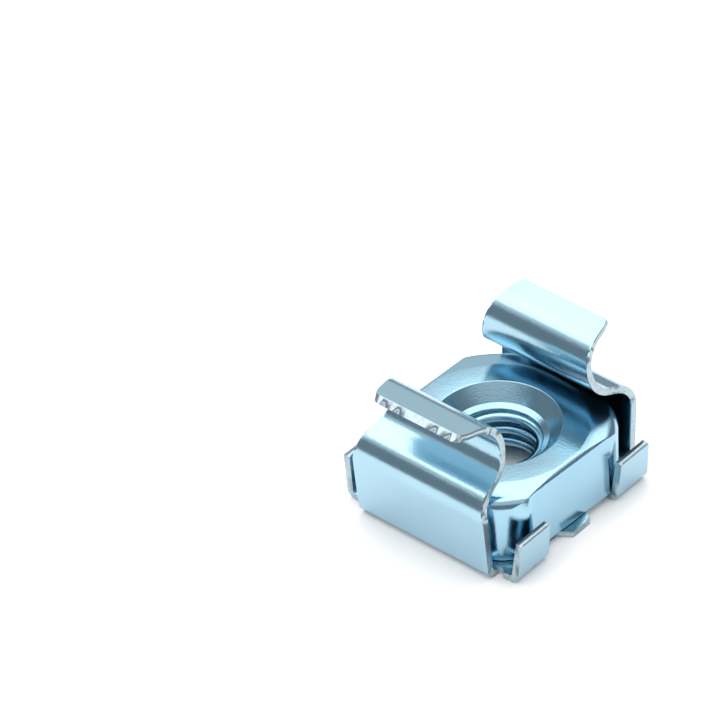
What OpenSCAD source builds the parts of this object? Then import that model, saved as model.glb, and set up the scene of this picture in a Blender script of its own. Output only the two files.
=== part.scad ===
// Rack cage nut: a square nut held loosely in a cage that is folded from one piece of spring steel.
// The two sprung ears at the top of the cage snap through the square hole of a rack rail.
//
// Frame: the cage stands on its base. The screw axis is Z, the side walls run along X, and the end
// tabs stand at +X and -X. The origin is on the screw axis, at the underside of the base.

/* [Rail hole] */
// Width of the square hole that the ears snap into
rail_hole = 9.5; // [9.2:0.1:10]
// Room between the backs of the two necks and the hole, both sides together
neck_clearance = 0.18; // [0.1:0.02:0.5]
// Room between the side edges of an ear, at its neck, and the hole, both sides together
ear_clearance = 0.6; // [0.2:0.05:1]

/* [Nut] */
// Nominal diameter of the thread
thread_d = 6; // [5:0.5:7]
// Pitch of the thread
thread_pitch = 1; // [0.75:0.05:1.25]
// Width of the square nut across its flats
nut_w = 12.7; // [12:0.1:13.5]
// Height of the nut
nut_h = 5; // [4.5:0.1:6]
// Radius of the nut's four upright corners
nut_corner_r = 2.8; // [1.5:0.1:3.5]
// Radius along the four straight edges on top of the nut
brow_r = 0.42; // [0.2:0.02:0.6]
// Diameter of the flat circle that the crown leaves on top of the nut
crown_d = 12; // [10:0.1:12.4]
// Slope of the crown outside that circle, in degrees
crown_angle = 8; // [3:1:15]
// Radius at which the crown turns down over the four corners
crown_r = 0.85; // [0.5:0.05:1.2]
// Diameter of the countersink on top of the nut
countersink_d = 8.55; // [7.6:0.05:9.5]
// Angle between the sides of that countersink, in degrees
countersink_angle = 80; // [60:1:100]
// Diameter at which the countersink gives way to the chamfer that leads into the thread
run_in_d = 6.75; // [6.2:0.05:7.2]
// Angle between the sides of that chamfer, in degrees
run_in_angle = 120; // [90:1:130]
// Diameter of the countersink underneath the nut
lead_d = 7.2; // [6.2:0.1:7.5]
// Angle between the sides of the lower countersink, in degrees
lead_angle = 90; // [60:5:120]
// Chamfer round the nut's bottom edge
nut_edge = 0.15; // [0.05:0.05:0.3]

/* [Play of the nut] */
// Gap under the nut
seat_gap = 0.05; // [0:0.01:0.2]
// Gap between the nut and the line where each side wall starts to bend
side_gap = 0.25; // [0.2:0.05:0.6]
// Gap between the centred nut and the line where each end tab starts to bend
end_gap = 0.05; // [0.05:0.05:0.4]
// Height between the top of the nut and the underside of the shoulders
headroom = 0.7; // [0.5:0.05:1.2]
// How far the loose nut lies off the middle, along X
nut_shift = 0.15; // [-0.15:0.05:0.15]
// How far the loose nut is turned in the cage, clockwise from above, in degrees
nut_turn = 2.5; // [0:0.5:2.5]

/* [Cage sheet] */
// Thickness of the spring steel
sheet = 0.5; // [0.4:0.05:0.6]
// Diameter of the hole in the base
base_hole_d = 8.2; // [7:0.1:9]
// Radius of the punched relief at each root of a side wall
relief_r = 0.25; // [0.15:0.05:0.3]

/* [Side walls and shoulders] */
// Length of a side wall along X
wall_len = 10.9; // [10:0.1:11.6]
// Outward lean of a side wall, in degrees
wall_lean = 4; // [0:0.5:8]
// Inside radius of the bend at the foot of a side wall
foot_r = 0.4; // [0.3:0.05:0.6]
// Inside radius of the bend over the nut
shoulder_r = 1.3; // [0.8:0.05:1.5]
// Upward slope of the shoulder towards the neck, in degrees
shoulder_rise = 20; // [5:1:25]

/* [Ears] */
// Inside radius of the bend from the shoulder up into the neck
neck_r = 1.7; // [1.2:0.05:2]
// Inward lean of the neck, in degrees
neck_lean = 8; // [2:1:15]
// Straight length of the neck
neck_len = 0.2; // [0.1:0.05:0.6]
// Inside radius of the bend that turns the ear outwards
lip_r = 1.6; // [1.2:0.05:2]
// Upward slope of the lip towards its tip, in degrees
lip_rise = 8; // [0:1:20]
// Straight length of the lip
lip_len = 1.7; // [1:0.05:2.2]
// Width of the ear at its tip
tip_w = 7.1; // [6:0.1:8.2]
// Radius of the two corners of the tip
tip_corner_r = 0.5; // [0.2:0.05:0.8]
// How far along the ear, from the foot of the neck, its sides start to taper
taper_start = 0.4; // [0.3:0.05:1]

/* [End tabs] */
// Clear width between the two tabs at one end
tab_spacing = 7; // [6:0.1:8]
// Height of a tab above the underside of the base
tab_h = 3.25; // [2.5:0.05:4]
// Outward lean of a tab, in degrees
tab_lean = 6.5; // [0:0.5:10]
// Inside radius of the bend at the foot of a tab
tab_r = 0.3; // [0.2:0.05:0.5]
// How much each side of a tab draws in from its foot to its top
tab_taper = 0.15; // [0:0.05:0.4]
// How far the edge between the tabs lies inside the line where they start to bend
end_recess = 0.3; // [0.1:0.05:0.6]

/* [Carrier tongues] */
// Length of the tongue left in the middle of each end of the base
tongue_len = 0.95; // [0.4:0.05:1]
// Width of a tongue at its root
tongue_root_w = 3; // [2:0.1:4]
// Width of a tongue at its tip
tongue_tip_w = 1.65; // [1:0.05:2]

/* [Hidden] */
$fn = 96;
// Overshoot of cutting shapes
over = 1;
// By how much the radii of a bend are drawn too wide
hair = 0.001;

// Where the bends of the cage start, measured from the axis
side_y = nut_w / 2 + side_gap;
end_x = nut_w / 2 + end_gap;
nut_z = sheet + seat_gap;
nut_top = nut_z + nut_h;
bore_d = thread_d - thread_pitch;

// Directions in which the sheet runs, in degrees from straight out: up the wall, over the shoulder,
// up the neck and out along the lip
wall_dir = 90 - wall_lean;
shoulder_dir = 180 - shoulder_rise;
neck_dir = 90 + neck_lean;
lip_dir = lip_rise;

// The outer face of the sheet is followed from the foot of the wall to the tip of the ear. Each
// point is where a bend ends, as [y, z].
function ahead(from, dir, length) = from + length * [cos(dir), sin(dir)];
function left(from, dir, new_dir, r) =
    from + (r + sheet) * [sin(new_dir) - sin(dir), cos(dir) - cos(new_dir)];
function right(from, dir, new_dir, r) =
    from + r * [sin(dir) - sin(new_dir), cos(new_dir) - cos(dir)];
function bent(from, dir, new_dir, r) =
    new_dir > dir ? left(from, dir, new_dir, r) : right(from, dir, new_dir, r);

// The straight of the wall is as long as the nut and its headroom need
wall_start = bent([side_y, 0], 0, wall_dir, foot_r);
shoulder_bend_rise = sheet + shoulder_r * (cos(wall_dir) - cos(shoulder_dir));
wall_straight = (nut_top + headroom - shoulder_bend_rise
    - foot_r * (1 - cos(wall_dir))) / sin(wall_dir);
shoulder_start = bent(ahead(wall_start, wall_dir, wall_straight), wall_dir, shoulder_dir, shoulder_r);

// The straight of the shoulder carries the neck in until its back just clears the rail hole
neck_back_y = (rail_hole - neck_clearance) / 2;
neck_bend_in = neck_r * (sin(neck_dir) - sin(shoulder_dir));
neck_lean_in = lip_r * (1 - sin(neck_dir)) + neck_len * sin(neck_lean);
shoulder_straight = (shoulder_start[0] - neck_back_y - neck_bend_in - neck_lean_in)
    / cos(shoulder_rise);
neck_start = bent(ahead(shoulder_start, shoulder_dir, shoulder_straight),
    shoulder_dir, neck_dir, neck_r);
lip_start = bent(ahead(neck_start, neck_dir, neck_len), neck_dir, lip_dir, lip_r);
lip_end = ahead(lip_start, lip_dir, lip_len);

// Each fold is [direction after it, inside radius, straight length after it]
arm_folds = [
    [wall_dir, foot_r, wall_straight],
    [shoulder_dir, shoulder_r, shoulder_straight],
    [neck_dir, neck_r, neck_len],
    [lip_dir, lip_r, lip_len]
];

// The sides of the ear taper along the line from the foot of the neck to the tip
neck_w = rail_hole - ear_clearance;
wall_top_z = ahead(wall_start, wall_dir, wall_straight)[1];
ear_run = lip_end - neck_start;
ear_run_len = norm(ear_run);
ear_tilt = atan2(ear_run[1], ear_run[0]);
ear_taper = (neck_w - tip_w) / 2 / (ear_run_len - taper_start);

// A bend is drawn too wide by a hair, and runs on as far as this into the straights beside it, so
// that the outlines of both cross and don't only touch
function run_on(r) = sqrt(2 * (r + sheet / 2) * hair);

// A bend as a sector of a ring round the point [0, 0]
module ring_sector(r, from, to) {
    more = atan(run_on(r) / (r + sheet / 2));
    sweep = to - from + 2 * more;
    reach = 2 * (r + sheet);
    intersection() {
        difference() {
            circle(r + sheet + hair);
            circle(r + hair);
        }
        polygon([
            [0, 0],
            for (step = [0 : 4]) reach * [cos(from - more + step * sweep / 4),
                sin(from - more + step * sweep / 4)]
        ]);
    }
}

module bend(from, dir, new_dir, r) {
    to_left = new_dir > dir;
    centre = to_left
        ? from + (r + sheet) * [-sin(dir), cos(dir)]
        : from + r * [sin(dir), -cos(dir)];
    translate(centre)
        if (to_left)
            ring_sector(r, dir - 90, new_dir - 90);
        else
            ring_sector(r, new_dir + 90, dir + 90);
}

module straight(from, dir, length) {
    translate(from)
        rotate(dir)
            square([length, sheet]);
}

// Section of a strip, fold by fold. The point is on its outer face, and the last straight ended there.
module folded(from, dir, folds, i = 0) {
    if (i < len(folds)) {
        new_dir = folds[i][0];
        r = folds[i][1];
        length = folds[i][2];
        next_run_on = i + 1 < len(folds) ? run_on(folds[i + 1][1]) : 0;
        bend_end = bent(from, dir, new_dir, r);
        bend(from, dir, new_dir, r);
        straight(ahead(bend_end, new_dir, -run_on(r)), new_dir, length + run_on(r) + next_run_on);
        folded(ahead(bend_end, new_dir, length), new_dir, folds, i + 1);
    }
}

// Section of a strip that rises from the edge of the base, with a root that lies in the base
module risen(edge, folds) {
    root = 0.5;
    translate([edge - root, 0])
        square([root + run_on(folds[0][1]), sheet]);
    folded([edge, 0], 0, folds);
}

// Side outline of a wall, seen along Y, with the part of its ear that is below the neck
module wall_outline() {
    neck_z = neck_start[1];
    top = lip_end[1] + over;
    polygon([
        [-wall_len / 2, 0],
        [wall_len / 2, 0],
        [wall_len / 2, wall_top_z],
        [neck_w / 2, neck_z],
        [neck_w / 2, top],
        [-neck_w / 2, top],
        [-neck_w / 2, neck_z],
        [-wall_len / 2, wall_top_z]
    ]);
}

// Outline of an ear along the line of its taper, with the corners of its tip rounded
module ear_outline() {
    tail = 2;
    slant = sqrt(1 + ear_taper * ear_taper);
    tail_w = tip_w + 2 * ear_taper * (ear_run_len + tail);
    centre = [
        tip_w / 2 + tip_corner_r * (ear_taper - slant),
        ear_run_len - tip_corner_r
    ];
    side_point = centre + tip_corner_r / slant * [1, ear_taper];
    polygon([
        [-tail_w / 2, -tail],
        [tail_w / 2, -tail],
        side_point,
        centre,
        [-centre[0], centre[1]],
        [-side_point[0], side_point[1]]
    ]);
    translate([-centre[0], 0])
        square([2 * centre[0], ear_run_len]);
    for (side = [-1, 1])
        translate([side * centre[0], centre[1]])
            circle(tip_corner_r + hair);
}

// What the blank leaves away beside an ear, from its neck to its tip
module ear_waste() {
    below = 0.3;
    above = 3;
    translate([0, neck_start[0], neck_start[1]])
        rotate([ear_tilt, 0, 0])
            translate([0, 0, -below])
                linear_extrude(below + above)
                    difference() {
                        translate([-wall_len, -over])
                            square([2 * wall_len, ear_run_len + 2 * over]);
                        ear_outline();
                    }
}

// The wall on the +Y side, with its shoulder and its ear
module side_arm() {
    reach = lip_end[0] + sheet;
    difference() {
        intersection() {
            rotate([90, 0, 90])
                linear_extrude(wall_len + 2 * over, center = true)
                    risen(side_y, arm_folds);
            rotate([90, 0, 0])
                linear_extrude(2 * reach, center = true)
                    wall_outline();
        }
        ear_waste();
    }
}

// Flat outline of the base, with the reliefs beside the walls
module base_outline() {
    edge_x = end_x - end_recess;
    difference() {
        square([2 * end_x, 2 * side_y], center = true);
        for (turn = [0, 180])
            rotate(turn)
                translate([edge_x, -tab_spacing / 2])
                    square([end_recess + over, tab_spacing]);
        for (x = [-1, 1], y = [-1, 1])
            translate([x * (wall_len / 2 + relief_r), y * side_y])
                circle(relief_r);
    }
}

// The tongue at the +X end
module tongue_outline() {
    edge_x = end_x - end_recess;
    polygon([
        [edge_x - over, -tongue_root_w / 2],
        [edge_x, -tongue_root_w / 2],
        [edge_x + tongue_len, -tongue_tip_w / 2],
        [edge_x + tongue_len, tongue_tip_w / 2],
        [edge_x, tongue_root_w / 2],
        [edge_x - over, tongue_root_w / 2]
    ]);
}

// A tab at the +X end, with the middle of its width on the X axis
module end_tab() {
    width = side_y - tab_spacing / 2;
    foot_top = tab_r + sheet;
    dir = 90 - tab_lean;
    tab_start_z = bent([end_x, 0], 0, dir, tab_r)[1];
    intersection() {
        rotate([90, 0, 0])
            linear_extrude(width + 2 * over, center = true)
                risen(end_x, [[dir, tab_r, (tab_h - tab_start_z) / sin(dir)]]);
        rotate([90, 0, 90])
            linear_extrude(end_x + tab_h)
                polygon([
                    [-width / 2, 0],
                    [width / 2, 0],
                    [width / 2, foot_top],
                    [width / 2 - tab_taper, tab_h + over],
                    [-width / 2 + tab_taper, tab_h + over],
                    [-width / 2, foot_top]
                ]);
    }
}

module spring_cage() {
    tab_y = (side_y + tab_spacing / 2) / 2;
    color([0.70, 0.80, 0.87])
        difference() {
            union() {
                linear_extrude(sheet)
                    base_outline();
                for (turn = [0, 180])
                    rotate(turn) {
                        side_arm();
                        linear_extrude(sheet)
                            tongue_outline();
                        for (side = [-1, 1])
                            translate([0, side * tab_y, 0])
                                end_tab();
                    }
            }
            translate([0, 0, -over])
                cylinder(h = sheet + 2 * over, d = base_hole_d);
        }
}

// The nut's square with round corners
module nut_outline() {
    corner = nut_w / 2 - nut_corner_r;
    square([nut_w, 2 * corner], center = true);
    square([2 * corner, nut_w], center = true);
    for (x = [-1, 1], y = [-1, 1])
        translate([x * corner, y * corner])
            circle(nut_corner_r);
}

// Half section of the turned body that crowns the nut, and breaks its bottom edge. The turn at the
// corners ends upright, just outside the farthest point of the nut.
module crown_section() {
    corner_reach = sqrt(2) * (nut_w / 2 - nut_corner_r) + nut_corner_r;
    rim = corner_reach + 0.02;
    centre_r = rim - crown_r;
    slope_end = centre_r + crown_r * sin(crown_angle);
    slope_end_z = nut_h - (slope_end - crown_d / 2) * tan(crown_angle);
    centre_z = slope_end_z - crown_r * cos(crown_angle);
    polygon([
        [0, 0],
        [nut_w / 2 - nut_edge, 0],
        [rim, rim - nut_w / 2 + nut_edge],
        [rim, centre_z],
        [centre_r, centre_z],
        [slope_end, slope_end_z],
        [crown_d / 2, nut_h],
        [0, nut_h]
    ]);
    intersection() {
        translate([centre_r, centre_z])
            circle(crown_r);
        translate([centre_r - over, centre_z])
            square([over + crown_r, over + crown_r]);
    }
}

// Section across the nut, with a radius on both edges of its top. The sides stand clear of the nut.
module brow_section() {
    centre_y = nut_w / 2 - brow_r;
    centre_z = nut_h - brow_r;
    translate([-nut_w / 2 - over, -over])
        square([nut_w + 2 * over, centre_z + over]);
    translate([-centre_y, 0])
        square([2 * centre_y, nut_h + over]);
    for (side = [-1, 1])
        translate([side * centre_y, centre_z])
            circle(brow_r + hair);
}

// Bar along Y that rounds the two top edges beside it
module brow_bar() {
    rotate([90, 0, 0])
        linear_extrude(2 * nut_w, center = true)
            brow_section();
}

// Half section of the bore: a countersink with a chamfer below it, and a countersink underneath
module bore_section() {
    top_depth = (countersink_d - run_in_d) / 2 / tan(countersink_angle / 2);
    run_in_depth = (run_in_d - bore_d) / 2 / tan(run_in_angle / 2);
    lead_depth = (lead_d - bore_d) / 2 / tan(lead_angle / 2);
    top_run = over * tan(countersink_angle / 2);
    lead_run = over * tan(lead_angle / 2);
    polygon([
        [0, -over],
        [lead_d / 2 + lead_run, -over],
        [bore_d / 2, lead_depth],
        [bore_d / 2, nut_h - top_depth - run_in_depth],
        [run_in_d / 2, nut_h - top_depth],
        [countersink_d / 2 + top_run, nut_h + over],
        [0, nut_h + over]
    ]);
}

module square_nut() {
    color([0.60, 0.70, 0.78])
        translate([nut_shift, 0, nut_z])
            rotate(-nut_turn)
                difference() {
                    intersection() {
                        linear_extrude(nut_h)
                            nut_outline();
                        rotate_extrude()
                            crown_section();
                        brow_bar();
                        rotate(90)
                            brow_bar();
                    }
                    rotate_extrude()
                        bore_section();
                }
}

spring_cage();
square_nut();
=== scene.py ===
"""Finishes and studio for a rack cage nut: a folded spring steel cage with a loose square nut in it."""

import math

import bmesh
import bpy
from bpy.props import FloatProperty, FloatVectorProperty, IntProperty, PointerProperty
from mathutils import Matrix, Vector
from mathutils.geometry import delaunay_2d_cdt


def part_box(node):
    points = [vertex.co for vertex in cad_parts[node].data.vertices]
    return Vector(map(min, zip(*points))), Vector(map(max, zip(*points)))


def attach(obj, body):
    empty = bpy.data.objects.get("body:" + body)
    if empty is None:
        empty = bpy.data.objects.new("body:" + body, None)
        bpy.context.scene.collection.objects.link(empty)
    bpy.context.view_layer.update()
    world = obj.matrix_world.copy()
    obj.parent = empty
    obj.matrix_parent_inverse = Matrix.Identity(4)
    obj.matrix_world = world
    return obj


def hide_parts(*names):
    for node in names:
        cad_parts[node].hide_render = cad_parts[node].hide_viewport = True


bl_info = {
    "name": "Rack cage nut",
    "version": (1, 0, 0),
    "blender": (4, 5, 0),
    "location": "3D View > Sidebar > Cage nut",
    "description": "Builds the folded cage, the square nut, its thread and the studio round them",
    "category": "Object",
}

MM = 0.001
# Stations on each straight of a folded strip, and how close they stand to the bends beside it
STRAIGHT_STATIONS = 4
SUPPORT = 0.06 * MM
# Where the points across a wall and across a tab lie, as shares of its width
WALL_SHARES = (-1, -0.97, -0.9, *(i / 8 for i in range(-6, 7)), 0.9, 0.97, 1)
TAB_SHARES = (0, 0.03, 0.1, 0.3, 0.5, 0.7, 0.9, 0.97, 1)
# Where the points of a lip's rounded corner lie, as shares of its radius back from the tip
TIP_SHARES = (1, 0.76, 0.52, 0.32, 0.16, 0)
# Sizes of the patches of thicker passivation, of the rolled sheet's waves and of the plating's grain
PATCH = 4 * MM
WAVE = 1.6 * MM
GRAIN = 0.11 * MM
TEAR = 0.2 * MM

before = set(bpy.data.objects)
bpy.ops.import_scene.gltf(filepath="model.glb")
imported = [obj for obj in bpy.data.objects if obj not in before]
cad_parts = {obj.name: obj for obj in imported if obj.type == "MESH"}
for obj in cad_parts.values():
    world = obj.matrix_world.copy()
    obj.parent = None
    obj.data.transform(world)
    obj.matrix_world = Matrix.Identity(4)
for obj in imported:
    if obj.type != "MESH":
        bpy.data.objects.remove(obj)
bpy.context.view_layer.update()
BODY = "root"
NUT_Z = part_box("square_nut")[0].z


# Colours


def linear(hex_colour):
    """An sRGB hex colour as linear red, green and blue."""
    channels = [int(hex_colour[i:i + 2], 16) / 255 for i in (1, 3, 5)]
    return [c / 12.92 if c <= 0.04045 else ((c + 0.055) / 1.055) ** 2.4 for c in channels]


def length(name, description, millimetres):
    """A length property, given in millimetres."""
    return FloatProperty(name=name, description=description, default=millimetres * MM,
                         min=0, unit="LENGTH", precision=5)


def angle(name, description, degrees):
    """An angle property, given in degrees."""
    return FloatProperty(name=name, description=description, default=math.radians(degrees),
                         unit="ROTATION")


def colour(name, description, hex_colour):
    """A colour property, given as sRGB hex."""
    return FloatVectorProperty(name=name, description=description, subtype="COLOR",
                               size=3, min=0, max=1, default=linear(hex_colour))


class CageSizes(bpy.types.PropertyGroup):
    """Sizes of the folded cage"""

    sheet: length("Sheet", "Thickness of the spring steel", 0.5)
    side_y: length("Wall fold", "Distance from the axis to the line where a wall starts to bend", 6.6)
    end_x: length("Tab fold", "Distance from the axis to the line where a tab starts to bend", 6.4)
    base_hole: length("Base hole", "Diameter of the hole in the base", 8.2)
    wall_len: length("Wall length", "Length of a side wall", 10.9)
    wall_lean: angle("Wall lean", "Outward lean of a side wall", 4)
    foot_r: length("Foot radius", "Inside radius at the foot of a side wall", 0.4)
    wall_straight: length("Wall straight", "Straight part of a side wall", 4.0756)
    shoulder_r: length("Shoulder radius", "Inside radius of the bend over the nut", 1.3)
    shoulder_rise: angle("Shoulder rise", "Upward slope of the shoulder", 20)
    shoulder_straight: length("Shoulder straight", "Straight part of the shoulder", 0.848)
    neck_r: length("Neck radius", "Inside radius of the bend up into the neck", 1.7)
    neck_lean: angle("Neck lean", "Inward lean of the neck", 8)
    neck_len: length("Neck straight", "Straight part of the neck", 0.2)
    lip_r: length("Lip radius", "Inside radius of the bend out into the lip", 1.6)
    lip_rise: angle("Lip rise", "Upward slope of the lip", 8)
    lip_len: length("Lip straight", "Straight part of the lip", 1.7)
    neck_w: length("Neck width", "Width of the ear at its neck", 8.9)
    tip_w: length("Tip width", "Width of the ear at its tip", 7.1)
    tip_corner_r: length("Tip corner", "Radius of the corners of the tip", 0.5)
    tab_spacing: length("Tab spacing", "Clear width between two tabs", 7)
    tab_h: length("Tab height", "Height of a tab", 3.25)
    tab_lean: angle("Tab lean", "Outward lean of a tab", 6.5)
    tab_r: length("Tab radius", "Inside radius at the foot of a tab", 0.3)
    tab_taper: length("Tab taper", "How much each side of a tab draws in", 0.15)
    end_recess: length("End recess", "How far the edge between the tabs lies inside their fold", 0.3)
    relief_r: length("Relief radius", "Radius of the relief beside each wall", 0.25)
    tongue_len: length("Tongue length", "Length of the tongue at each end", 0.95)
    tongue_root_w: length("Tongue root", "Width of a tongue at its root", 3)
    tongue_tip_w: length("Tongue tip", "Width of a tongue at its tip", 1.65)
    tip_bevel: length("Tip bevel", "How far the end of the lip leans back on its inner face", 0.28)
    edge_round: length("Edge rounding", "Rounding of the sheared edges", 0.05)


class NutSizes(bpy.types.PropertyGroup):
    """Sizes of the square nut"""

    width: length("Width", "Width across the flats", 12.7)
    height: length("Height", "Height of the nut", 5)
    shift: length("Shift", "How far the nut lies off the middle, along X", 0.15)
    turned: angle("Turn", "How far the nut is turned, clockwise from above", 2.5)
    corner_r: length("Corner radius", "Radius of the upright corners", 2.8)
    brow_r: length("Brow radius", "Radius along the four straight edges on top", 0.42)
    crown_d: length("Crown flat", "Diameter of the flat circle on top", 12)
    crown_angle: angle("Crown slope", "Slope of the crown outside that circle", 8)
    crown_r: length("Crown radius", "Radius at which the crown turns down at the corners", 0.85)
    countersink_d: length("Countersink", "Diameter of the countersink on top", 8.55)
    countersink_angle: angle("Countersink angle", "Angle between its sides", 80)
    run_in_d: length("Run-in", "Diameter at the top of the chamfer into the thread", 6.75)
    run_in_angle: angle("Run-in angle", "Angle between the sides of that chamfer", 120)
    lead_d: length("Lead", "Diameter of the countersink underneath", 7.2)
    lead_angle: angle("Lead angle", "Angle between its sides", 90)
    foot_round: length("Foot rounding", "Rounding of the nut's bottom edge", 0.15)
    rim_round: length("Rim rounding", "Rounding of the countersink's rim", 0.12)
    crown_steps: IntProperty(name="Crown steps", description="Steps from the flat to the side",
                             default=28, min=8)
    steps: IntProperty(name="Steps", description="Steps round the nut", default=384, min=64)


class ThreadSizes(bpy.types.PropertyGroup):
    """Sizes of the thread"""

    major_d: length("Nominal diameter", "Diameter at the thread's roots", 6)
    pitch: length("Pitch", "Rise of one turn", 1)
    minor_d: length("Core diameter", "Diameter at the thread's crests", 5)
    steps: IntProperty(name="Steps", description="Steps in one turn", default=160, min=32)


class Finishes(bpy.types.PropertyGroup):
    """Colours of the plating and of the studio"""

    cage_tint: colour("Cage plating", "Blue passivated zinc on the cage", "#a8cbdb")
    nut_tint: colour("Nut plating", "Blue passivated zinc on the nut", "#a0c8db")
    edge_tint: colour("Sheared edge", "Thin plating on the sheared edges", "#b4c6ce")
    floor: colour("Floor", "Pale studio floor", "#fbfbfb")


class Studio(bpy.types.PropertyGroup):
    """Camera and lights"""

    azimuth: angle("Azimuth", "Where the camera stands, round the object", 43.208)
    elevation: angle("Elevation", "How far it looks down", 38.983)
    roll: angle("Roll", "Turn about its line of sight", -3.683)
    distance: length("Distance", "Distance of the camera", 320.3)
    aim_right: FloatProperty(name="Aim right", description="Sideways shift of the camera",
                             default=-8.966 * MM, unit="LENGTH")
    aim_up: FloatProperty(name="Aim up", description="Upward shift of the camera",
                          default=8.288 * MM, unit="LENGTH")
    lens: FloatProperty(name="Lens", description="Focal length in millimetres", default=245.9)
    softbox_place: FloatVectorProperty(name="Softbox", description="Where the softbox hangs",
                                       size=3, default=(-0.11, 0.06, 0.5), subtype="XYZ")
    softbox_width: length("Softbox width", "Size of the softbox along X", 720)
    softbox_depth: length("Softbox depth", "Size of the softbox along Y", 620)
    softbox_level: FloatProperty(name="Softbox level", description="How bright it looks", default=1.4)
    fill_height: length("Fill height", "Height of the fill light", 700)
    fill_width: length("Fill width", "Size of the fill light", 1200)
    fill_level: FloatProperty(name="Fill level", description="How bright it looks", default=0.4)
    room_level: FloatProperty(name="Room level", description="How bright the room is", default=0.8)
    drape_radius: length("Drape radius", "Distance of the dark cloth from the object", 600)
    drape_rise: angle("Drape rise", "How high the cloth reaches, seen from the object", 40)
    gap_rise: angle("Gap rise", "How high it reaches in its gap at the back left", 13)
    gap_from: angle("Gap start", "Where that gap starts, round the object", 98)
    gap_to: angle("Gap end", "Where that gap ends", 168)


# Mesh helpers


def piece(name, mesh, materials):
    """A new object at the origin that holds this mesh and these materials."""
    thing = bpy.data.objects.new(name, mesh)
    bpy.context.scene.collection.objects.link(thing)
    for material in materials:
        mesh.materials.append(material)
    return thing


def bake(thing):
    """Replaces an object's modifiers by the mesh that they make."""
    graph = bpy.context.evaluated_depsgraph_get()
    made = bpy.data.meshes.new_from_object(thing.evaluated_get(graph), depsgraph=graph)
    thing.modifiers.clear()
    thing.data = made
    return thing


def arc_steps(turn):
    """How many steps a bend of this angle takes."""
    return max(4, round(abs(turn) / math.radians(5)))


def folded(start, folds, sheet):
    """Stations of a folded strip as [outer point, inner point], in its own section.

    The strip starts straight out at start. A fold is (direction after it, inside radius, straight)."""
    stations = []
    point = Vector((start, 0))
    heading = 0.0
    for new_heading, radius, straight in folds:
        side = 1 if new_heading > heading else -1
        reach = radius + sheet if side > 0 else radius
        centre = point + reach * side * Vector((-math.sin(heading), math.cos(heading)))
        count = arc_steps(new_heading - heading)
        for i in range(count + 1):
            now = heading + (new_heading - heading) * i / count
            normal = Vector((-math.sin(now), math.cos(now)))
            point = centre - reach * side * normal
            stations.append((point, point + sheet * normal))
        heading = new_heading
        along = Vector((math.cos(heading), math.sin(heading)))
        normal = Vector((-along.y, along.x))
        for way in (SUPPORT, straight / 2, straight - SUPPORT):
            spot = point + along * way
            stations.append((spot, spot + sheet * normal))
        point = point + along * straight
        stations.append((point, point + sheet * normal))
    return stations


class SheetBuilder:
    """Collects the faces of a sheet as pairs of outer and inner points, then closes its edges."""

    def __init__(self):
        self.found = {}
        self.pairs = []
        self.faces = []

    def corner(self, outer, inner):
        key = tuple(round(c / MM, 4) for c in outer)
        if key not in self.found:
            self.found[key] = len(self.pairs)
            self.pairs.append((Vector(outer), Vector(inner)))
        return self.found[key]

    def grid(self, rows):
        """Faces between rows of corners, each row a list of (outer, inner)."""
        indices = [[self.corner(*pair) for pair in row] for row in rows]
        for low, high in zip(indices, indices[1:]):
            for i in range(len(low) - 1):
                self.face((low[i], low[i + 1], high[i + 1], high[i]))

    def face(self, corners):
        distinct = tuple(dict.fromkeys(corners))
        if len(distinct) > 2:
            self.faces.append(distinct)

    def mesh(self, name):
        """The closed mesh: outer faces, inner faces and sheared edges, the last in slot 1."""
        count = len(self.pairs)
        points = [pair[0] for pair in self.pairs] + [pair[1] for pair in self.pairs]
        faces = list(self.faces)
        faces += [tuple(i + count for i in reversed(face)) for face in self.faces]
        edges = [pair for face in self.faces for pair in zip(face, face[1:] + face[:1])]
        known = set(edges)
        open_edges = [(a, b) for a, b in edges if (b, a) not in known]
        sheared = len(faces)
        faces += [(b, a, a + count, b + count) for a, b in open_edges]
        mesh = bpy.data.meshes.new(name)
        mesh.from_pydata(points, [], faces)
        for polygon in mesh.polygons:
            polygon.use_smooth = True
            polygon.material_index = 1 if polygon.index >= sheared else 0
        return mesh


def inside(point, loop):
    """True if a point lies inside a closed loop of points."""
    odd = False
    for a, b in zip(loop, loop[1:] + loop[:1]):
        if (a[1] > point[1]) != (b[1] > point[1]):
            across = a[0] + (point[1] - a[1]) * (b[0] - a[0]) / (b[1] - a[1])
            odd ^= point[0] < across
    return odd


def flat_triangles(outline, hole):
    """Triangles that fill a flat outline round a hole."""
    corners = [Vector(p) / MM for p in outline + hole]
    rims = [(i, (i + 1) % len(outline)) for i in range(len(outline))]
    rims += [(len(outline) + i, len(outline) + (i + 1) % len(hole)) for i in range(len(hole))]
    points, _, triangles, *_ = delaunay_2d_cdt(corners, rims, [], 0, 1e-6)
    for triangle in triangles:
        found = [points[i] * MM for i in triangle]
        middle = sum(found, Vector((0, 0))) / 3
        if inside(middle, outline) and not inside(middle, hole):
            yield found


# Materials


def add(tree, kind, links=(), **settings):
    """Adds a node with its settings. Links are (input, socket) pairs."""
    node = tree.nodes.new(kind)
    for key, value in settings.items():
        if key in node.bl_rna.properties:
            setattr(node, key, value)
        else:
            node.inputs[key.replace("_", " ")].default_value = value
    for entry, socket in links:
        tree.links.new(socket, node.inputs[entry])
    return node


def new_material(name):
    """A new material with an empty node tree."""
    material = bpy.data.materials.new(name)
    material.use_nodes = True
    material.node_tree.nodes.clear()
    return material, material.node_tree


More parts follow.
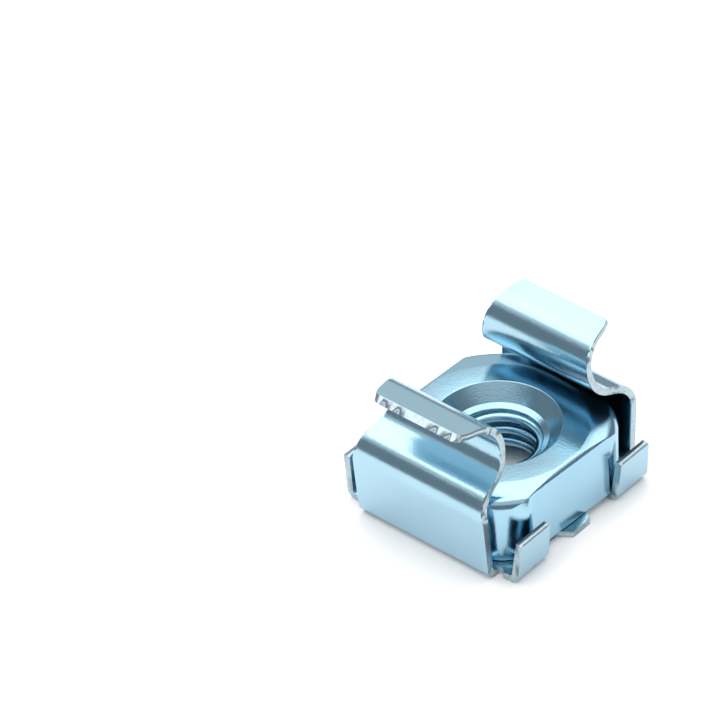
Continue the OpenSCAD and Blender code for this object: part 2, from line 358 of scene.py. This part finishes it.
def plated_steel(name, tint, roughness, grain, ripple):
    """Zinc plate with a thin blue passivation: a bright metal with a blue cast, a fine orange peel
    that breaks up reflections at their edges, and a slow change of tint over the sheet."""
    material, tree = new_material(name)
    place = add(tree, "ShaderNodeTexCoord").outputs["Object"]
    cloud = add(tree, "ShaderNodeTexNoise", [("Vector", place)], Scale=1 / PATCH, Detail=2.0)
    tinted = add(tree, "ShaderNodeMix", [("Factor", cloud.outputs["Fac"])], data_type="RGBA")
    tinted.inputs["A"].default_value = (*[c * 0.93 for c in tint], 1)
    tinted.inputs["B"].default_value = (*[min(1, c * 1.05) for c in tint], 1)
    fine = add(tree, "ShaderNodeTexNoise", [("Vector", place)], Scale=1 / GRAIN, Detail=3.0)
    slow = add(tree, "ShaderNodeTexNoise", [("Vector", place)], Scale=1 / WAVE, Detail=1.0)
    wave = add(tree, "ShaderNodeBump", [("Height", slow.outputs["Fac"])],
               Strength=1.0, Distance=ripple)
    peel = add(tree, "ShaderNodeBump", [("Height", fine.outputs["Fac"]),
                                        ("Normal", wave.outputs["Normal"])],
               Strength=1.0, Distance=grain)
    shine = add(tree, "ShaderNodeMapRange", [("Value", fine.outputs["Fac"])],
                To_Min=roughness * 0.8, To_Max=roughness * 1.25)
    metal = add(tree, "ShaderNodeBsdfPrincipled",
                [("Base Color", tinted.outputs["Result"]), ("Normal", peel.outputs["Normal"]),
                 ("Roughness", shine.outputs["Result"])], Metallic=1.0)
    add(tree, "ShaderNodeOutputMaterial", [("Surface", metal.outputs["BSDF"])])
    return material


def sheared_steel(name, tint):
    """The cut edge of the sheet: a little torn across the thickness, and paler than the faces."""
    material, tree = new_material(name)
    place = add(tree, "ShaderNodeTexCoord").outputs["Object"]
    tear = add(tree, "ShaderNodeTexNoise", [("Vector", place)], Scale=1 / TEAR, Detail=3.0)
    tone = add(tree, "ShaderNodeValToRGB", [("Fac", tear.outputs["Fac"])])
    tone.color_ramp.elements[0].position = 0.38
    tone.color_ramp.elements[0].color = (*[c * 0.85 for c in tint], 1)
    tone.color_ramp.elements[1].position = 0.55
    tone.color_ramp.elements[1].color = (*tint, 1)
    relief = add(tree, "ShaderNodeBump", [("Height", tear.outputs["Fac"])],
                 Strength=1.0, Distance=0.003 * MM)
    metal = add(tree, "ShaderNodeBsdfPrincipled",
                [("Base Color", tone.outputs["Color"]), ("Normal", relief.outputs["Normal"])],
                Metallic=1.0, Roughness=0.36)
    add(tree, "ShaderNodeOutputMaterial", [("Surface", metal.outputs["BSDF"])])
    return material


def matt(name, tint):
    """A matt, even colour for the studio's card and cloth."""
    material, tree = new_material(name)
    surface = add(tree, "ShaderNodeBsdfDiffuse", Color=(*tint, 1))
    add(tree, "ShaderNodeOutputMaterial", [("Surface", surface.outputs["BSDF"])])
    return material


# Pieces


class CAGENUT_OT_cage(bpy.types.Operator):
    """Folds the cage from its blank"""

    bl_idname = "cagenut.cage"
    bl_label = "Spring cage"

    def arm_stations(self, s):
        """Stations up the +Y wall and along its ear, as (outer point, inner point, half width)."""
        upright = math.pi / 2
        folds = [
            (upright - s.wall_lean, s.foot_r, s.wall_straight),
            (math.pi - s.shoulder_rise, s.shoulder_r, s.shoulder_straight),
            (upright + s.neck_lean, s.neck_r, s.neck_len),
            (s.lip_rise, s.lip_r, s.lip_len),
        ]
        whole = folded(s.side_y, folds, s.sheet)
        way = [0.0]
        for a, b in zip(whole, whole[1:]):
            way.append(way[-1] + ((a[0] + a[1]) / 2 - (b[0] + b[1]) / 2).length)
        wall_end = way[len(folded(s.side_y, folds[:1], s.sheet)) - 1]
        neck = way[len(folded(s.side_y, folds[:3], s.sheet)) - STRAIGHT_STATIONS]
        stations = []
        for (outer, inner), along in zip(whole, way):
            if along <= wall_end:
                width = s.wall_len
            elif along <= neck:
                width = s.wall_len + (s.neck_w - s.wall_len) * (along - wall_end) / (neck - wall_end)
            else:
                width = s.neck_w + (s.tip_w - s.neck_w) * (along - neck) / (way[-1] - neck)
            stations.append((outer, inner, width / 2))
        return stations[:-2] + self.tip_stations(s, *whole[-1])

    def tip_stations(self, s, outer, inner):
        """Stations round the corners of the lip's tip, whose end leans back on its inner face."""
        back = Vector((math.cos(s.lip_rise), math.sin(s.lip_rise)))
        r = s.tip_corner_r
        stations = []
        for share in TIP_SHARES:
            retreat = r * share
            half = s.tip_w / 2 - r + math.sqrt(r * r - (r - retreat) ** 2)
            leant = s.tip_bevel + retreat * (1 - s.tip_bevel / r)
            stations.append((outer - back * retreat, inner - back * leant, half))
        return stations

    def add_arms(self, sheet, s):
        """The two walls with their ears."""
        stations = self.arm_stations(s)
        for side in (1, -1):
            rows = []
            for outer, inner, half in stations:
                row = [(Vector((side * half * share, side * outer.x, outer.y)),
                        Vector((side * half * share, side * inner.x, inner.y))) for share in WALL_SHARES]
                rows.append(list(reversed(row)))
            sheet.grid(rows)

    def add_tabs(self, sheet, s):
        """The four end tabs."""
        lean = math.pi / 2 - s.tab_lean
        foot_rise = (s.tab_r + s.sheet) * (1 - math.cos(lean))
        foot_top = s.tab_r + s.sheet
        stations = folded(s.end_x, [(lean, s.tab_r, (s.tab_h - foot_rise) / math.sin(lean))], s.sheet)
        for end in (1, -1):
            for side in (1, -1):
                rows = []
                for outer, inner in stations:
                    draw = s.tab_taper * max(0, outer.y - foot_top) / (s.tab_h - foot_top)
                    low, high = s.tab_spacing / 2 + draw, s.side_y - draw
                    row = []
                    for share in TAB_SHARES:
                        y = side * (low + (high - low) * share)
                        row.append((Vector((end * outer.x, y, outer.y)),
                                    Vector((end * inner.x, y, inner.y))))
                    rows.append(row if end == side else list(reversed(row)))
                sheet.grid(rows)

    def end_outline(self, s, side):
        """Outline of half an end of the base: relief, foot of the tab, recessed edge and tongue."""
        tab_in = s.tab_spacing / 2
        edge_x = s.end_x - s.end_recess
        relief_x = s.wall_len / 2 + s.relief_r
        relief_steps = 10
        relief = []
        for i in range(1, relief_steps + 1):
            turn = math.pi * i / relief_steps
            relief.append((relief_x - s.relief_r * math.cos(turn),
                           side * (s.side_y - s.relief_r * math.sin(turn))))
        foot = [(s.end_x, side * (tab_in + (s.side_y - tab_in) * share)) for share in TAB_SHARES]
        tongue = [(edge_x, side * tab_in), (edge_x, side * s.tongue_root_w / 2),
                  (edge_x + s.tongue_len, side * s.tongue_tip_w / 2)]
        run = relief + list(reversed(foot)) + tongue
        return list(reversed(run)) if side > 0 else run

    def base_outline(self, s):
        """Outline of the flat base, without points that fall on each other."""
        outline = []
        for turn in (1, -1):
            half = [(s.wall_len / 2 * share, -s.side_y) for share in WALL_SHARES]
            half += self.end_outline(s, -1) + self.end_outline(s, 1)
            outline += [(turn * x, turn * y) for x, y in half]
        same = 0.0001 * MM
        return [p for p, last in zip(outline, outline[-1:] + outline[:-1])
                if (Vector(p) - Vector(last)).length > same]

    def add_base(self, sheet, s):
        """The base round its hole."""
        hole_steps = 96
        hole = []
        for i in range(hole_steps):
            turn = 2 * math.pi * i / hole_steps
            hole.append((s.base_hole / 2 * math.cos(turn), s.base_hole / 2 * math.sin(turn)))
        up = Vector((0, 0, s.sheet))
        for triangle in flat_triangles(self.base_outline(s), hole):
            points = [Vector((*p, 0)) for p in triangle]
            if (points[1] - points[0]).cross(points[2] - points[0]).z > 0:
                points.reverse()
            sheet.face([sheet.corner(p, p + up) for p in points])

    def execute(self, context):
        s = context.scene.cage_sizes
        f = context.scene.finishes
        sheet = SheetBuilder()
        self.add_arms(sheet, s)
        self.add_tabs(sheet, s)
        self.add_base(sheet, s)
        mesh = sheet.mesh("spring_cage_folded")
        cage = piece("spring_cage_folded", mesh, [
            plated_steel("Blue passivated zinc, rolled sheet",
                         f.cage_tint, roughness=0.17, grain=0.008 * MM, ripple=0.008 * MM),
            sheared_steel("Sheared spring steel", f.edge_tint),
        ])
        bevel = cage.modifiers.new("Edge rounding", "BEVEL")
        bevel.width = s.edge_round
        bevel.segments = 2
        bevel.limit_method = "ANGLE"
        bevel.angle_limit = math.radians(50)
        weigh = cage.modifiers.new("Flat faces", "WEIGHTED_NORMAL")
        weigh.keep_sharp = True
        bake(cage)
        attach(cage, BODY)
        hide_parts("spring_cage")
        return {"FINISHED"}


def rounded(points, radii, steps=6):
    """A polyline's points with its inner corners rounded, the same number of points each time."""
    spans = [(b - a).length for a, b in zip(points, points[1:])]
    cuts = [0.0]
    for i in range(1, len(points) - 1):
        before = (points[i] - points[i - 1]).normalized()
        after = (points[i + 1] - points[i]).normalized()
        turn = math.acos(max(-1, min(1, before.dot(after))))
        cuts.append(radii[i] * math.tan(turn / 2))
    cuts.append(0.0)
    share = [1.0] * len(points)
    for i, span in enumerate(spans):
        if cuts[i] + cuts[i + 1] > 0.96 * span:
            fit = 0.96 * span / (cuts[i] + cuts[i + 1])
            share[i] = min(share[i], fit)
            share[i + 1] = min(share[i + 1], fit)
    made = [points[0]]
    for i in range(1, len(points) - 1):
        cut = cuts[i] * share[i]
        start = points[i] + (points[i - 1] - points[i]).normalized() * cut
        end = points[i] + (points[i + 1] - points[i]).normalized() * cut
        for step in range(steps + 1):
            t = step / steps
            made.append(start.lerp(points[i], t).lerp(points[i].lerp(end, t), t))
    made.append(points[-1])
    return made


class CAGENUT_OT_nut(bpy.types.Operator):
    """Makes the square nut round its bore"""

    bl_idname = "cagenut.nut"
    bl_label = "Square nut"

    def reach(self, s, turn):
        """Distance from the axis to the upright side, in this direction."""
        half = s.width / 2
        straight = half - s.corner_r
        c, d = abs(math.cos(turn)), abs(math.sin(turn))
        reach = half / max(c, d)
        if min(c, d) * reach > straight:
            middle = straight * (c + d)
            reach = middle + math.sqrt(middle ** 2 - 2 * straight ** 2 + s.corner_r ** 2)
        return reach

    def top(self, s, turn, r):
        """Height of the top at this distance from the axis: the crown, or the brow of an edge if
        that is lower."""
        farthest = math.sqrt(2) * (s.width / 2 - s.corner_r) + s.corner_r
        middle = farthest + 0.02 * MM - s.crown_r
        slope_end = middle + s.crown_r * math.sin(s.crown_angle)
        slope = math.tan(s.crown_angle)
        crown = s.height - max(0, r - s.crown_d / 2) * slope
        if r > slope_end:
            end_z = s.height - (slope_end - s.crown_d / 2) * slope
            fall = math.sqrt(max(0, s.crown_r ** 2 - (r - middle) ** 2))
            crown = end_z - s.crown_r * math.cos(s.crown_angle) + fall
        out = max(abs(math.cos(turn)), abs(math.sin(turn))) * r - (s.width / 2 - s.brow_r)
        brow = s.height
        if out > 0:
            brow = s.height - s.brow_r + math.sqrt(max(0, s.brow_r ** 2 - out ** 2))
        return min(crown, brow)

    def side_profile(self, s, turn, reach):
        """Points from the side up over the edge to the flat top, closer together at the edge."""
        points = []
        start = s.crown_d / 2 * 0.97
        for step in range(s.crown_steps + 1):
            share = math.sin(math.pi / 2 * (1 - step / s.crown_steps))
            r = start + (reach - start) * share
            points.append(Vector((r, self.top(s, turn, r))))
        return points[:-1]

    def execute(self, context):
        s = context.scene.nut_sizes
        t = context.scene.thread_sizes
        f = context.scene.finishes
        bore = t.major_d / 2
        run_in_z = s.height - (s.countersink_d - s.run_in_d) / 2 / math.tan(s.countersink_angle / 2)
        rings = []
        for i in range(s.steps):
            turn = 2 * math.pi * i / s.steps
            reach = self.reach(s, turn)
            profile = self.side_profile(s, turn, reach)
            inner = [Vector(p) for p in (
                (s.crown_d / 2 * 0.97, s.height), (s.countersink_d / 2, s.height),
                (s.run_in_d / 2, run_in_z),
                (bore, run_in_z - (s.run_in_d / 2 - bore) / math.tan(s.run_in_angle / 2)),
                (bore, (s.lead_d / 2 - bore) / math.tan(s.lead_angle / 2)),
                (s.lead_d / 2, 0), (reach, 0), (reach, s.height * 0.4))]
            radii = [0, s.rim_round, 0.1 * MM, 0.02 * MM, 0.02 * MM, 0.05 * MM, s.foot_round, 0]
            section = rounded(inner, radii) + profile
            across, along = math.cos(turn - s.turned), math.sin(turn - s.turned)
            rings.append([Vector((s.shift + p.x * across, p.x * along, NUT_Z + p.y))
                          for p in section])
        count = len(rings[0])
        points = [p for ring in rings for p in ring]
        faces = []
        for i in range(s.steps):
            j = (i + 1) % s.steps
            for k in range(count):
                m = (k + 1) % count
                faces.append((i * count + k, j * count + k, j * count + m, i * count + m))
        mesh = bpy.data.meshes.new("square_nut_body")
        mesh.from_pydata(points, [], faces)
        for polygon in mesh.polygons:
            polygon.use_smooth = True
        nut = piece("square_nut_body", mesh, [
            plated_steel("Blue passivated zinc, pressed nut",
                         f.nut_tint, roughness=0.15, grain=0.008 * MM, ripple=0.008 * MM)])
        made = bmesh.new()
        made.from_mesh(mesh)
        bmesh.ops.recalc_face_normals(made, faces=made.faces)
        made.to_mesh(mesh)
        made.free()
        weigh = nut.modifiers.new("Flat faces", "WEIGHTED_NORMAL")
        weigh.keep_sharp = True
        bake(nut)
        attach(nut, BODY)
        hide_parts("square_nut")
        return {"FINISHED"}


def group_input(tree, name, kind, value):
    """A named input of a node group."""
    socket = tree.interface.new_socket(name, in_out="INPUT", socket_type=kind)
    socket.default_value = value
    return socket


class CAGENUT_OT_thread(bpy.types.Operator):
    """Winds the thread round the bore"""

    bl_idname = "cagenut.thread"
    bl_label = "Thread"

    def tree(self, t, n, material):
        """A ridge swept along a helix and held back to the two countersinks."""
        tree = bpy.data.node_groups.new("Thread ridge", "GeometryNodeTree")
        tree.is_modifier = True
        height = n.height
        turns = height / t.pitch + 1
        countersink_depth = (n.countersink_d - n.run_in_d) / 2 / math.tan(n.countersink_angle / 2)
        top_radius = n.run_in_d / 2 + countersink_depth * math.tan(n.run_in_angle / 2)
        for name, value in (("Root radius", t.major_d / 2), ("Crest radius", t.minor_d / 2),
                            ("Pitch", t.pitch), ("Turns", turns),
                            ("Top radius", top_radius), ("Lead radius", n.lead_d / 2)):
            group_input(tree, name, "NodeSocketFloat", value)
        tree.interface.new_socket("Geometry", in_out="OUTPUT", socket_type="NodeSocketGeometry")
        given = add(tree, "NodeGroupInput").outputs

        def sum_of(a, b, operation="ADD"):
            node = add(tree, "ShaderNodeMath", operation=operation)
            for entry, value in zip(node.inputs, (a, b)):
                if isinstance(value, bpy.types.NodeSocket):
                    tree.links.new(value, entry)
                else:
                    entry.default_value = value
            return node.outputs[0]

        rise = sum_of(given["Pitch"], given["Turns"], "MULTIPLY")
        coil = add(tree, "GeometryNodeCurveSpiral",
                   [("Rotations", given["Turns"]), ("Start Radius", given["Root radius"]),
                    ("End Radius", given["Root radius"]), ("Height", rise)], Resolution=t.steps)
        depth = sum_of(given["Root radius"], given["Crest radius"], "SUBTRACT")
        section = []
        for share_out, share_up in ((-0.06, -0.46), (1, -0.125), (1, 0.125), (-0.06, 0.46)):
            section.append(add(tree, "ShaderNodeCombineXYZ",
                               [("X", sum_of(depth, share_out, "MULTIPLY")),
                                ("Y", sum_of(given["Pitch"], share_up, "MULTIPLY"))]).outputs[0])
        shape = add(tree, "GeometryNodeCurvePrimitiveQuadrilateral", mode="POINTS")
        for entry, socket in zip(("Point 1", "Point 2", "Point 3", "Point 4"), section):
            tree.links.new(socket, shape.inputs[entry])
        upright = add(tree, "GeometryNodeSetCurveNormal", [("Curve", coil.outputs["Curve"])],
                      mode="Z_UP")
        swept = add(tree, "GeometryNodeCurveToMesh",
                    [("Curve", upright.outputs[0]), ("Profile Curve", shape.outputs["Curve"])],
                    Fill_Caps=True)
        lowered = add(tree, "GeometryNodeTransform", [("Geometry", swept.outputs["Mesh"])])
        lowered.inputs["Translation"].default_value = (0, 0, -t.pitch / 2)
        where = add(tree, "ShaderNodeSeparateXYZ",
                    [("Vector", add(tree, "GeometryNodeInputPosition").outputs[0])]).outputs
        flat = add(tree, "ShaderNodeCombineXYZ", [("X", where["X"]), ("Y", where["Y"])]).outputs[0]
        out = add(tree, "ShaderNodeVectorMath", [("Vector", flat)], operation="LENGTH").outputs["Value"]
        held_z = sum_of(sum_of(where["Z"], 0.0, "MAXIMUM"), height, "MINIMUM")
        below_top = sum_of(height, held_z, "SUBTRACT")
        top_cone = sum_of(given["Top radius"],
                          sum_of(below_top, math.tan(n.run_in_angle / 2), "MULTIPLY"), "SUBTRACT")
        lead_cone = sum_of(given["Lead radius"],
                           sum_of(held_z, math.tan(n.lead_angle / 2), "MULTIPLY"), "SUBTRACT")
        cone = sum_of(sum_of(top_cone, lead_cone, "MAXIMUM"), 0.01 * MM, "ADD")
        grow = sum_of(sum_of(cone, out, "DIVIDE"), 1.0, "MAXIMUM")
        moved = add(tree, "ShaderNodeCombineXYZ",
                    [("X", sum_of(where["X"], grow, "MULTIPLY")),
                     ("Y", sum_of(where["Y"], grow, "MULTIPLY")), ("Z", held_z)]).outputs[0]
        trimmed = add(tree, "GeometryNodeSetPosition",
                      [("Geometry", lowered.outputs["Geometry"]), ("Position", moved)])
        real = add(tree, "GeometryNodeRealizeInstances", [("Geometry", trimmed.outputs["Geometry"])])
        dressed = add(tree, "GeometryNodeSetMaterial", [("Geometry", real.outputs["Geometry"])],
                      Material=material)
        add(tree, "NodeGroupOutput", [("Geometry", dressed.outputs["Geometry"])])
        return tree

    def execute(self, context):
        s = context.scene
        material = plated_steel("Blue passivated zinc, tapped thread", s.finishes.nut_tint,
                                roughness=0.2, grain=0.001 * MM, ripple=0.001 * MM)
        thread = piece("nut_thread", bpy.data.meshes.new("nut_thread"), [])
        wind = thread.modifiers.new("Thread ridge", "NODES")
        wind.node_group = self.tree(s.thread_sizes, s.nut_sizes, material)
        bake(thread)
        thread.data.transform(Matrix.Translation((s.nut_sizes.shift, 0, NUT_Z)))
        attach(thread, BODY)
        return {"FINISHED"}


class CAGENUT_OT_stage(bpy.types.Operator):
    """Sets up the floor, the lights and the camera"""

    bl_idname = "cagenut.stage"
    bl_label = "Stage"

    def area(self, name, place, size, radiance, target=(0, 0, 0)):
        """A softbox that points at the target and shows this brightness."""
        data = bpy.data.lights.new(name, "AREA")
        data.shape = "RECTANGLE"
        data.size, data.size_y = size
        data.energy = radiance * math.pi * size[0] * size[1]
        lamp = bpy.data.objects.new(name, data)
        lamp.location = place
        way = Vector(target) - Vector(place)
        lamp.rotation_euler = way.to_track_quat("-Z", "Y").to_euler()
        bpy.context.scene.collection.objects.link(lamp)
        return lamp

    def drape(self, scene, s):
        """Dark cloth all round the table, low at the back left, which gives bright metal its dark
        bands. The camera doesn't see it."""
        steps, foot = 72, -20 * MM
        points, faces = [], []
        for i in range(steps + 1):
            turn = 2 * math.pi * i / steps
            rise = s.gap_rise if s.gap_from <= turn <= s.gap_to else s.drape_rise
            place = (s.drape_radius * math.cos(turn), s.drape_radius * math.sin(turn))
            points += [(*place, foot), (*place, s.drape_radius * math.tan(rise))]
            if i:
                faces.append((2 * i - 2, 2 * i, 2 * i + 1, 2 * i - 1))
        mesh = bpy.data.meshes.new("drape")
        mesh.from_pydata(points, [], faces)
        mesh.materials.append(matt("Dark grey cloth", (0.22, 0.24, 0.26)))
        cloth = bpy.data.objects.new("drape", mesh)
        scene.collection.objects.link(cloth)
        cloth.visible_camera = False
        cloth.visible_diffuse = False
        cloth.visible_shadow = False

    def execute(self, context):
        scene = context.scene
        s = scene.studio
        mesh = bpy.data.meshes.new("floor")
        reach = 2000 * MM
        corners = [(x * reach, y * reach, 0) for x, y in ((-1, -1), (1, -1), (1, 1), (-1, 1))]
        mesh.from_pydata(corners, [], [(0, 1, 2, 3)])
        floor = bpy.data.objects.new("floor", mesh)
        scene.collection.objects.link(floor)
        mesh.materials.append(matt("Matt white card", scene.finishes.floor))
        self.area("softbox_top", s.softbox_place, (s.softbox_width, s.softbox_depth), s.softbox_level)
        fill = self.area("fill_top", (0, 0, s.fill_height), (s.fill_width, s.fill_width), s.fill_level)
        fill.visible_glossy = False
        self.drape(scene, s)
        world = bpy.data.worlds.new("studio")
        scene.world = world
        world.use_nodes = True
        tree = world.node_tree
        tree.nodes.clear()
        path = add(tree, "ShaderNodeLightPath").outputs
        seen = add(tree, "ShaderNodeMath", operation="MAXIMUM")
        tree.links.new(path["Is Camera Ray"], seen.inputs[0])
        tree.links.new(path["Is Transmission Ray"], seen.inputs[1])
        soft = add(tree, "ShaderNodeBackground", Color=(1, 1, 1, 1), Strength=s.room_level)
        white = add(tree, "ShaderNodeBackground", Color=(1, 1, 1, 1), Strength=1.0)
        glow = add(tree, "ShaderNodeMixShader", [(0, seen.outputs[0]), (1, soft.outputs[0]),
                                                 (2, white.outputs[0])])
        add(tree, "ShaderNodeOutputWorld", [("Surface", glow.outputs[0])])
        a, e, r = s.azimuth, s.elevation, s.roll
        back = Vector((math.sin(a) * math.cos(e), -math.cos(a) * math.cos(e), math.sin(e)))
        right = Vector((math.cos(a), math.sin(a), 0))
        up = back.cross(right)
        across = right * math.cos(r) + up * math.sin(r)
        upward = up * math.cos(r) - right * math.sin(r)
        data = bpy.data.cameras.new("camera")
        data.lens = s.lens
        data.sensor_width = 36
        data.clip_start, data.clip_end = 0.01, 10
        camera = bpy.data.objects.new("camera", data)
        turn = Matrix((across, upward, back)).transposed().to_4x4()
        place = across * s.aim_right + upward * s.aim_up + back * s.distance
        camera.matrix_world = Matrix.Translation(place) @ turn
        scene.collection.objects.link(camera)
        scene.camera = camera
        scene.view_settings.view_transform = "Standard"
        return {"FINISHED"}


class CAGENUT_PT_panel(bpy.types.Panel):
    """Lists the pieces"""

    bl_idname = "CAGENUT_PT_panel"
    bl_label = "Cage nut"
    bl_space_type = "VIEW_3D"
    bl_region_type = "UI"
    bl_category = "Cage nut"

    def draw(self, context):
        for operator in OPERATORS:
            self.layout.operator(operator.bl_idname)


OPERATORS = (CAGENUT_OT_stage, CAGENUT_OT_cage, CAGENUT_OT_nut, CAGENUT_OT_thread)
GROUPS = {"cage_sizes": CageSizes, "nut_sizes": NutSizes, "thread_sizes": ThreadSizes,
          "finishes": Finishes, "studio": Studio}


def register():
    for made in (*GROUPS.values(), *OPERATORS, CAGENUT_PT_panel):
        bpy.utils.register_class(made)
    for name, group in GROUPS.items():
        setattr(bpy.types.Scene, name, PointerProperty(type=group))


def unregister():
    for name in GROUPS:
        delattr(bpy.types.Scene, name)
    for made in (CAGENUT_PT_panel, *reversed(OPERATORS), *reversed(GROUPS.values())):
        bpy.utils.unregister_class(made)


def main():
    register()
    bpy.ops.cagenut.stage()
    bpy.ops.cagenut.cage()
    bpy.ops.cagenut.nut()
    bpy.ops.cagenut.thread()


if __name__ == "__main__":
    main()
